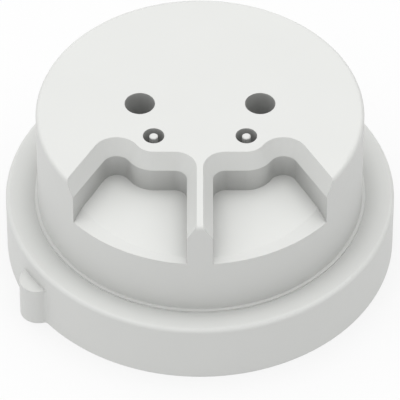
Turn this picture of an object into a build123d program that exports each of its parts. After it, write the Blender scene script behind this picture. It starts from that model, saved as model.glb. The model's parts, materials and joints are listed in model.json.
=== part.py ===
from build123d import *
from math import atan2, cos, degrees, hypot, radians, sin, tan
import os

os.makedirs("parts", exist_ok=True)

# Disc seen from outside: a wide flange carrying a tall round boss
HEIGHT = 31.7
FLANGE_R = 35.0
FLANGE_Z = 11.7
RIM_ROUND = 0.8
RIM_LAND = 0.5
BOSS_R = 29.2
BOSS_ROUND = 0.8
FOOT_R = 29.8
FOOT_Z = 11.35
GUTTER_Z = 11.0

# Recess in the rear that takes the mandrel insert
RECESS_R = 26.0
RECESS_DEPTH = 20.0
MOUTH_CHAMFER = 0.6

# Locating lug on the flange wall
LUG_R = 3.3
LUG_CENTRE_R = 34.4
LUG_ANGLE = 212.8
LUG_HEIGHT = 8.0
LUG_FILLET = 0.7

# Cut-off pockets in the front face, given for the left one and mirrored
SLANT_ANGLE = 60.0
HUMP_X = -14.74
HUMP_Y = -11.09
HUMP_R = 2.6
BULGE_X = -8.14
BULGE_Y = -6.94
BULGE_R = 5.2
RIB_HALF = 2.29
RIB_FILLET = 2.2
BEVEL_INSET = 1.73
BEVEL_DROP = 2.98
POCKET_FRONT = 40.0
FLOOR_DEPTH = 7.85
FLOOR_SLOPE = 3.0
LIP_SLOPE = 21.3
LIP_DEPTH = 9.15

# Tube outlets and push-out holes, one of each on either side
OUTLET_X = 8.19
OUTLET_Y = -6.4
OUTLET_R = 1.9
LAND = 5.2
CHAMBER_R = 4.0
CHAMBER_CONE = 2.1
PUSH_X = 10.7
PUSH_Y = 1.8
PUSH_R = 2.7

# Mandrel insert
PLUG_CLEARANCE = 0.05
PLUG_PLATE = 4.0
PLUG_WALL = 3.2
PLUG_CHAMFER = 0.8
KEY_WIDTH = 4.0
KEY_REACH = 1.5
KEY_HEIGHT = 8.0
KEY_CLEARANCE = 0.05
HUB_R = 2.3
BRIDGE_WIDTH = 1.2
BRIDGE_ANGLES = (20.0, 160.0, 270.0)
HOLLOW_FILLET = 2.0

# Mandrel pins
PIN_TIP_R = 0.78
PIN_SHANK_R = 1.3
PIN_HEAD_R = 2.2
PIN_HEAD = 1.6
PIN_ROUND = 0.15

PLATE_REAR = RECESS_DEPTH - PLUG_PLATE
PLUG_R = RECESS_R - PLUG_CLEARANCE
LAND_START = HEIGHT - LAND
SIDES = (("left", -1), ("right", 1))


def body_section():
    """Half section of the moulding, to the right of the axis."""
    rim_inner_r = FLANGE_R - RIM_ROUND - RIM_LAND
    with BuildSketch(Plane.XZ) as section:
        with BuildLine():
            Polyline(
                (FLANGE_R, 0),
                (RECESS_R + MOUTH_CHAMFER, 0),
                (RECESS_R, MOUTH_CHAMFER),
                (RECESS_R, RECESS_DEPTH),
                (0, RECESS_DEPTH),
                (0, HEIGHT),
                (BOSS_R - BOSS_ROUND, HEIGHT),
            )
            RadiusArc((BOSS_R - BOSS_ROUND, HEIGHT), (BOSS_R, HEIGHT - BOSS_ROUND), BOSS_ROUND)
            Polyline(
                (BOSS_R, HEIGHT - BOSS_ROUND),
                (BOSS_R, FOOT_Z),
                (FOOT_R, FOOT_Z),
                (FOOT_R, GUTTER_Z),
            )
            TangentArc((rim_inner_r, FLANGE_Z), (FOOT_R, GUTTER_Z), tangent=(-1, 0))
            Line((rim_inner_r, FLANGE_Z), (FLANGE_R - RIM_ROUND, FLANGE_Z))
            RadiusArc((FLANGE_R - RIM_ROUND, FLANGE_Z), (FLANGE_R, FLANGE_Z - RIM_ROUND), RIM_ROUND)
            Line((FLANGE_R, FLANGE_Z - RIM_ROUND), (FLANGE_R, 0))
        make_face()
    return section.sketch


def pocket_outline():
    """Plan of the left pocket's upright walls; it runs out past the front of the boss."""
    along = (cos(radians(SLANT_ANGLE)), sin(radians(SLANT_ANGLE)))
    across = (along[1], -along[0])
    gap = hypot(BULGE_X - HUMP_X, BULGE_Y - HUMP_Y)
    toward = ((BULGE_X - HUMP_X) / gap, (BULGE_Y - HUMP_Y) / gap)
    slant_top = (HUMP_X - HUMP_R * across[0], HUMP_Y - HUMP_R * across[1])
    run = (POCKET_FRONT + slant_top[1]) / along[1]
    slant_end = (slant_top[0] - run * along[0], -POCKET_FRONT)
    hump_crest = (HUMP_X, HUMP_Y + HUMP_R)
    hump_end = (HUMP_X + HUMP_R * toward[0], HUMP_Y + HUMP_R * toward[1])
    back_y = BULGE_Y - BULGE_R
    turn = radians((degrees(atan2(-toward[1], -toward[0])) - 90) / 2)
    bulge_mid = (BULGE_X + BULGE_R * cos(turn), BULGE_Y + BULGE_R * sin(turn))
    with BuildSketch() as outline:
        with BuildLine():
            Line(slant_end, slant_top)
            ThreePointArc(slant_top, hump_crest, hump_end)
            ThreePointArc(hump_end, bulge_mid, (BULGE_X, back_y))
            FilletPolyline(
                (BULGE_X, back_y),
                (-RIB_HALF, back_y),
                (-RIB_HALF, -POCKET_FRONT),
                radius=RIB_FILLET,
            )
            Line((-RIB_HALF, -POCKET_FRONT), slant_end)
        make_face()
    return outline.sketch


def pocket_void():
    """Left pocket: upright walls below a bevel, over a floor that falls toward the front."""
    outline = pocket_outline()
    floor = pocket_floor()
    bevel_angle = degrees(atan2(BEVEL_INSET, BEVEL_DROP))
    with BuildPart() as void:
        with BuildSketch(Plane.XY.offset(HEIGHT - 2 * LIP_DEPTH)):
            add(outline)
        extrude(amount=2 * LIP_DEPTH + 1)
        with BuildSketch(Plane.XY.offset(HEIGHT - BEVEL_DROP)):
            add(outline)
        extrude(amount=BEVEL_DROP + 1, taper=-bevel_angle)
        add(floor, mode=Mode.SUBTRACT)
    return void.part


def pocket_floor():
    """Solid under the pocket floor: a falling plane, cut off by a steeper lip at the front."""
    back_y = BULGE_Y - BULGE_R
    level = HEIGHT - FLOOR_DEPTH
    slope = tan(radians(FLOOR_SLOPE))
    lip_z = HEIGHT - LIP_DEPTH
    lip = tan(radians(LIP_SLOPE))
    base = HEIGHT - 3 * LIP_DEPTH
    with BuildPart() as floor:
        with BuildSketch(Plane.YZ):
            Polygon(
                (POCKET_FRONT, base),
                (-POCKET_FRONT, base),
                (-POCKET_FRONT, level - slope * (POCKET_FRONT + back_y)),
                (POCKET_FRONT, level + slope * (POCKET_FRONT - back_y)),
                align=None,
            )
        extrude(amount=2 * POCKET_FRONT, both=True)
        with BuildSketch(Plane.XZ):
            Polygon(
                (0, base),
                (POCKET_FRONT + BOSS_R, base),
                (POCKET_FRONT + BOSS_R, lip_z - lip * POCKET_FRONT),
                (0, lip_z + lip * BOSS_R),
                align=None,
            )
        revolve(mode=Mode.INTERSECT)
    return floor.part


def outlet_plane(side):
    """Upright plane through an outlet's axis, with the height as its local Y."""
    return Plane((side * OUTLET_X, OUTLET_Y, 0), x_dir=(1, 0, 0), z_dir=(0, -1, 0))


def outlet_axis(side):
    """Axis that an outlet, its chamber and its pin share."""
    return Axis((side * OUTLET_X, OUTLET_Y, 0), (0, 0, 1))


def key_shape(clearance):
    """Key on the back of the plug, or with a clearance the groove that it slides in."""
    reach = PLUG_R + KEY_REACH + 2 * clearance
    with BuildPart() as key:
        with BuildSketch():
            with Locations((0, reach)):
                Rectangle(KEY_WIDTH + 2 * clearance, 2 * KEY_REACH, align=(Align.CENTER, Align.MAX))
        extrude(amount=KEY_HEIGHT + clearance)
    return key.part


section = body_section()
pocket = pocket_void()
key = key_shape(0)
key_groove = key_shape(KEY_CLEARANCE)

# Die body: one moulding
with BuildPart() as die_body:
    add(section)
    revolve()
    with BuildSketch():
        Circle(FLANGE_R)
        with PolarLocations(LUG_CENTRE_R, 1, start_angle=LUG_ANGLE):
            Circle(LUG_R)
        Circle((RECESS_R + FLANGE_R) / 2, mode=Mode.SUBTRACT)
    extrude(amount=LUG_HEIGHT)
    lug_root = Vector(FLANGE_R - LUG_R, 0, LUG_HEIGHT / 2).rotate(Axis.Z, LUG_ANGLE)
    lug_corners = edges().filter_by(Axis.Z).sort_by_distance(lug_root)[:2]
    fillet(lug_corners, LUG_FILLET)
    add(pocket, mode=Mode.SUBTRACT)
    mirror(pocket, about=Plane.YZ, mode=Mode.SUBTRACT)
    add(key_groove, mode=Mode.SUBTRACT)
    with BuildSketch(Plane.XY.offset(RECESS_DEPTH)):
        with Locations((-PUSH_X, PUSH_Y), (PUSH_X, PUSH_Y)):
            Circle(PUSH_R)
    extrude(until=Until.LAST, mode=Mode.SUBTRACT)
    for _, side in SIDES:
        with BuildSketch(outlet_plane(side)):
            Polygon(
                (0, RECESS_DEPTH),
                (CHAMBER_R, RECESS_DEPTH),
                (CHAMBER_R, LAND_START - CHAMBER_CONE),
                (OUTLET_R, LAND_START),
                (OUTLET_R, HEIGHT),
                (0, HEIGHT),
                align=None,
            )
        revolve(axis=outlet_axis(side), mode=Mode.SUBTRACT)
die_body.part.label = "die_body"
export_step(die_body.part, "parts/die_body.step")

# Mandrel insert: a cup-shaped plug whose plate feeds the outlets and holds the pins
with BuildPart() as mandrel_insert:
    with BuildSketch(Plane.XZ):
        Polygon(
            (PLUG_R - PLUG_WALL, 0),
            (PLUG_R, 0),
            (PLUG_R, RECESS_DEPTH - PLUG_CHAMFER),
            (PLUG_R - PLUG_CHAMFER, RECESS_DEPTH),
            (0, RECESS_DEPTH),
            (0, PLATE_REAR),
            (PLUG_R - PLUG_WALL, PLATE_REAR),
            align=None,
        )
        fillet(vertices().sort_by_distance((PLUG_R - PLUG_WALL, PLATE_REAR))[0], HOLLOW_FILLET)
    revolve()
    add(key)
    with BuildSketch(Plane.XY.offset(PLATE_REAR)):
        for _, side in SIDES:
            with Locations((side * OUTLET_X, OUTLET_Y)):
                Circle(CHAMBER_R)
                Circle(HUB_R, mode=Mode.SUBTRACT)
                for angle in BRIDGE_ANGLES:
                    with PolarLocations(0, 1, start_angle=90 + side * (angle - 90)):
                        Rectangle(
                            2 * CHAMBER_R,
                            BRIDGE_WIDTH,
                            align=(Align.MIN, Align.CENTER),
                            mode=Mode.SUBTRACT,
                        )
                Circle(PIN_SHANK_R)
    extrude(amount=PLUG_PLATE, mode=Mode.SUBTRACT)
mandrel_insert.part.label = "mandrel_insert"
export_step(mandrel_insert.part, "parts/mandrel_insert.step")

# Mandrel pins: a head behind the plate, a shank through it and a taper up to the face
for name, side in SIDES:
    with BuildPart() as mandrel_pin:
        with BuildSketch(outlet_plane(side)):
            Polygon(
                (0, PLATE_REAR - PIN_HEAD),
                (PIN_SHANK_R, PLATE_REAR - PIN_HEAD),
                (PIN_HEAD_R, PLATE_REAR - PIN_HEAD / 2),
                (PIN_HEAD_R, PLATE_REAR),
                (PIN_SHANK_R, PLATE_REAR),
                (PIN_SHANK_R, RECESS_DEPTH),
                (PIN_TIP_R, LAND_START),
                (PIN_TIP_R, HEIGHT - PIN_ROUND),
                (PIN_TIP_R - PIN_ROUND, HEIGHT),
                (0, HEIGHT),
                align=None,
            )
        revolve(axis=outlet_axis(side))
    mandrel_pin.part.label = f"mandrel_pin_{name}"
    export_step(mandrel_pin.part, f"parts/mandrel_pin_{name}.step")
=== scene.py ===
import json
from math import cos, radians, sin

import bpy
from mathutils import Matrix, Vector

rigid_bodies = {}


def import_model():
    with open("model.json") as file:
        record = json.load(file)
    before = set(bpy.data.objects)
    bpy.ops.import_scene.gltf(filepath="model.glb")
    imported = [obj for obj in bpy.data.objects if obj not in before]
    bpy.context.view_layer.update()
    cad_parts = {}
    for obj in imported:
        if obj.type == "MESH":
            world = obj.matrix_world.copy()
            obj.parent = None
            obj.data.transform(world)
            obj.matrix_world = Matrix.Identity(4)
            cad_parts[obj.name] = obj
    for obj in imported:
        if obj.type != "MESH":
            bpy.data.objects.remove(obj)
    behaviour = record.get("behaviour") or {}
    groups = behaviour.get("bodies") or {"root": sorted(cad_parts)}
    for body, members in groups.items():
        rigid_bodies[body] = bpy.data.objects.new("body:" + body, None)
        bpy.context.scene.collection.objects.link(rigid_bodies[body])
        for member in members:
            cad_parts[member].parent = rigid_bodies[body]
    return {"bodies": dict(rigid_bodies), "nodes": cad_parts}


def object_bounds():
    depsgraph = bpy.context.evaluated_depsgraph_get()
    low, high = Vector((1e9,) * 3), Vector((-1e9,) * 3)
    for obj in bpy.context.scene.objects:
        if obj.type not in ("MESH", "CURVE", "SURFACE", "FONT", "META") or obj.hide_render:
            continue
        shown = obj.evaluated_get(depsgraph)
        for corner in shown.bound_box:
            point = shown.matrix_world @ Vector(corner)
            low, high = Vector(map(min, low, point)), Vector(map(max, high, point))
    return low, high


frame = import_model()
CAD_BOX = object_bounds()
MM = 0.001

# Camera: a long lens looking down at the open side of the pockets
CAMERA_ELEVATION = radians(45.09)
CAMERA_DISTANCE = 0.9032
CAMERA_LENS = 450.0
AIM_BELOW_FACE = 0.02248

# Light: a soft dome over a floor that glows a little. It is brightest overhead, with high soft
# lamps to the left, to the right, behind and in front, and a dimmer right-hand horizon.
DOME_BASE = 0.65
DOME_OVERHEAD = 1.98
LAMP_LEFT = 5.4
LAMP_RIGHT = 8.7
LAMP_BEHIND = 4.1
LAMP_FRONT = 1.4
DIM_RIGHT = 0.63
FLOOR_GLOW = 0.74
FLOOR_ALBEDO = 0.20
FLOOR_SIZE = 3.0
FLOOR_GAP = 0.02 * MM

# White plastic, a touch cool. Its colour carries painted shade: darkened on the walls of the front face's
# recesses, and less so on level faces beside a wall.
WHITE = (0.65, 0.656, 0.64)
PAINTED_SHADE_REACH = 30 * MM
PAINTED_SHADE_STRENGTH = 0.96
PAINTED_SHADE_LIMIT = 0.38
PAINTED_SHADE_LEVEL_SHARE = 0.5
PAINTED_SHADE_FROM = 16 * MM
PAINTED_SHADE_FULL = 22 * MM
PLASTIC_IOR = 1.46

# Variation over the surface. Each scale is in cycles per metre.
CLOUDING = 0.015
CLOUDING_SCALE = 90.0
SHEEN_SWING = 0.08
SHEEN_SCALE = 500.0
SKIN_SCALE = 3500.0
SKIN_DEPTH = 0.01 * MM

# Hairline rounding that every moulded edge has
EDGE_RADIUS = 0.12 * MM
SMOOTH_ANGLE = radians(25)


def node(tree, kind, **inputs):
    """Adds a shader node and sets the inputs given by name."""
    made = tree.nodes.new(kind)
    for name, value in inputs.items():
        made.inputs[name.replace("_", " ")].default_value = value
    return made


def calculate(tree, operation, *operands):
    """Adds a Math node; each operand is a socket or a number."""
    made = tree.nodes.new("ShaderNodeMath")
    made.operation = operation
    for socket, operand in zip(made.inputs, operands):
        if isinstance(operand, (int, float)):
            socket.default_value = operand
        else:
            tree.links.new(operand, socket)
    return made.outputs[0]


def noise(tree, scale, detail):
    """Noise fixed to the object, from 0 to 1."""
    place = tree.nodes.new("ShaderNodeTexCoord").outputs["Object"]
    made = node(tree, "ShaderNodeTexNoise", Scale=scale, Detail=detail, Roughness=0.55)
    tree.links.new(place, made.inputs["Vector"])
    return made.outputs["Fac"]


def painted_recess_shade(tree, own_walls_only):
    """Painted shade: how much the colour is darkened, 0 on open faces, up to the painted shade limit deep
    in a front recess.
    """
    shade = node(tree, "ShaderNodeAmbientOcclusion", Distance=PAINTED_SHADE_REACH)
    shade.only_local = own_walls_only
    shade.samples = 16
    coordinates = tree.nodes.new("ShaderNodeTexCoord").outputs
    facing = tree.nodes.new("ShaderNodeSeparateXYZ")
    place = tree.nodes.new("ShaderNodeSeparateXYZ")
    tree.links.new(coordinates["Normal"], facing.inputs[0])
    tree.links.new(coordinates["Object"], place.inputs[0])
    front = node(tree, "ShaderNodeMapRange", From_Min=PAINTED_SHADE_FROM, From_Max=PAINTED_SHADE_FULL)
    tree.links.new(place.outputs["Z"], front.inputs["Value"])

    # Painted shade: the colour darkens where ambient occlusion finds walls close by, most on upright walls
    # high on the front face.
    closed = calculate(tree, "POWER", calculate(tree, "SUBTRACT", 1.0, shade.outputs["AO"]), 2.0)
    limited = calculate(tree, "MINIMUM", calculate(tree, "MULTIPLY", closed, PAINTED_SHADE_STRENGTH), PAINTED_SHADE_LIMIT)
    level = calculate(tree, "MULTIPLY", facing.outputs["Z"], facing.outputs["Z"])
    steep = calculate(tree, "POWER", calculate(tree, "SUBTRACT", 1.0, level), 3.0)
    upright = calculate(tree, "MULTIPLY", steep, front.outputs[0])
    share = calculate(tree, "MULTIPLY_ADD", level, PAINTED_SHADE_LEVEL_SHARE, upright)
    return calculate(tree, "MULTIPLY", limited, share)


def moulded_plastic(name, colour, roughness, grain, own_walls_only=True):
    """Clean moulded plastic: faint clouding, painted shade in recesses, uneven sheen, fine skin texture.

    With own_walls_only off, the walls of other pieces add to the painted shade too.
    """
    material = bpy.data.materials.new(name)
    material.use_nodes = True
    tree = material.node_tree
    tree.nodes.clear()
    output = tree.nodes.new("ShaderNodeOutputMaterial")
    surface = tree.nodes.new("ShaderNodeBsdfPrincipled")
    surface.inputs["IOR"].default_value = PLASTIC_IOR
    tree.links.new(surface.outputs[0], output.inputs["Surface"])

    tint = tree.nodes.new("ShaderNodeMix")
    tint.data_type = "RGBA"
    tint.inputs[6].default_value = (*[(1 - CLOUDING) * c for c in colour], 1)
    tint.inputs[7].default_value = (*[(1 + CLOUDING) * c for c in colour], 1)
    tree.links.new(noise(tree, CLOUDING_SCALE, 4.0), tint.inputs[0])
    # Painted shade: the base colour is scaled down in recesses by the occlusion mask.
    painted_shade_colour = tree.nodes.new("ShaderNodeVectorMath")
    painted_shade_colour.operation = "SCALE"
    tree.links.new(tint.outputs[2], painted_shade_colour.inputs[0])
    painted_shade_factor = calculate(tree, "SUBTRACT", 1.0, painted_recess_shade(tree, own_walls_only))
    tree.links.new(painted_shade_factor, painted_shade_colour.inputs["Scale"])
    tree.links.new(painted_shade_colour.outputs[0], surface.inputs["Base Color"])

    patches = noise(tree, SHEEN_SCALE, 3.0)
    sheen = calculate(tree, "MULTIPLY_ADD", patches, 2 * SHEEN_SWING, roughness - SHEEN_SWING)
    tree.links.new(sheen, surface.inputs["Roughness"])

    edge = node(tree, "ShaderNodeBevel", Radius=EDGE_RADIUS)
    skin = node(tree, "ShaderNodeBump", Strength=grain, Distance=SKIN_DEPTH)
    tree.links.new(noise(tree, SKIN_SCALE, 2.0), skin.inputs["Height"])
    tree.links.new(edge.outputs[0], skin.inputs["Normal"])
    tree.links.new(skin.outputs[0], surface.inputs["Normal"])
    return material


def dress(node_name, material):
    """Gives a CAD node its finish, and smooth shading across its round faces."""
    mesh = frame["nodes"][node_name].data
    mesh.materials.clear()
    mesh.materials.append(material)
    mesh.shade_smooth()
    mesh.set_sharp_from_angle(angle=SMOOTH_ANGLE)


def positive(tree, value):
    """The value where it is above 0, else 0."""
    return calculate(tree, "MAXIMUM", value, 0.0)


def dome():
    """World light, set by the direction that it comes from."""
    world = bpy.data.worlds.new("studio_dome")
    bpy.context.scene.world = world
    world.use_nodes = True
    tree = world.node_tree
    tree.nodes.clear()
    split = tree.nodes.new("ShaderNodeSeparateXYZ")
    tree.links.new(tree.nodes.new("ShaderNodeTexCoord").outputs["Generated"], split.inputs[0])
    across, along, upward = split.outputs
    up = positive(tree, upward)
    behind = positive(tree, along)
    right = positive(tree, across)
    left = positive(tree, calculate(tree, "MULTIPLY", across, -1.0))
    ahead = positive(tree, calculate(tree, "MULTIPLY", along, -1.0))
    high = calculate(tree, "POWER", up, 3.0)
    parts = [(calculate(tree, "POWER", up, 6.0), DOME_OVERHEAD), (right, -DIM_RIGHT)]
    lamps = ((left, LAMP_LEFT), (right, LAMP_RIGHT), (behind, LAMP_BEHIND), (ahead, LAMP_FRONT))
    for side, amount in lamps:
        lamp = calculate(tree, "MULTIPLY", high, calculate(tree, "MULTIPLY", side, side))
        parts.append((lamp, amount))
    strength = DOME_BASE
    for part, amount in parts:
        strength = calculate(tree, "MULTIPLY_ADD", part, amount, strength)
    background = tree.nodes.new("ShaderNodeBackground")
    tree.links.new(strength, background.inputs["Strength"])
    output = tree.nodes.new("ShaderNodeOutputWorld")
    tree.links.new(background.outputs[0], output.inputs["Surface"])


def floor(level):
    """Plain pale floor, carried by the insert so that it stays below it when it is pulled out."""
    half = FLOOR_SIZE / 2
    corners = [(x * half, y * half, level) for x, y in ((-1, -1), (1, -1), (1, 1), (-1, 1))]
    mesh = bpy.data.meshes.new("studio_floor")
    mesh.from_pydata(corners, [], [(0, 1, 2, 3)])
    ground = bpy.data.objects.new("studio_floor", mesh)
    bpy.context.scene.collection.objects.link(ground)
    ground.parent = frame["bodies"]["insert"]
    material = bpy.data.materials.new("studio_floor")
    material.use_nodes = True
    shader = material.node_tree.nodes["Principled BSDF"]
    shader.inputs["Base Color"].default_value = (FLOOR_ALBEDO, FLOOR_ALBEDO, FLOOR_ALBEDO, 1)
    shader.inputs["Roughness"].default_value = 1.0
    shader.inputs["Specular IOR Level"].default_value = 0.0
    shader.inputs["Emission Color"].default_value = (1, 1, 1, 1)
    shader.inputs["Emission Strength"].default_value = FLOOR_GLOW
    mesh.materials.append(material)


def camera(top):
    """Camera on the disc's centre plane, aimed at its axis."""
    data = bpy.data.cameras.new("camera")
    data.lens = CAMERA_LENS
    data.sensor_width = 36.0
    data.clip_start = 0.1
    data.clip_end = 10.0
    eye = bpy.data.objects.new("camera", data)
    bpy.context.scene.collection.objects.link(eye)
    back = Vector((0, -cos(CAMERA_ELEVATION), sin(CAMERA_ELEVATION)))
    aim = Vector((0, 0, top - AIM_BELOW_FACE))
    eye.location = aim + CAMERA_DISTANCE * back
    eye.rotation_mode = "QUATERNION"
    eye.rotation_quaternion = (-back).to_track_quat("-Z", "Y")
    bpy.context.scene.camera = eye


bpy.context.scene.view_settings.view_transform = "Standard"
dome()
floor(CAD_BOX[0].z - FLOOR_GAP)
camera(CAD_BOX[1].z)

dress("die_body", moulded_plastic("white_plastic", WHITE, 0.5, 0.2))
dress("mandrel_insert", moulded_plastic("white_plastic_insert", WHITE, 0.5, 0.2))
# The pins' painted shade also counts the die body's walls around them.
pin_plastic = moulded_plastic("white_plastic_pin", WHITE, 0.4, 0.1, own_walls_only=False)
for side in ("left", "right"):
    dress(f"mandrel_pin_{side}", pin_plastic)
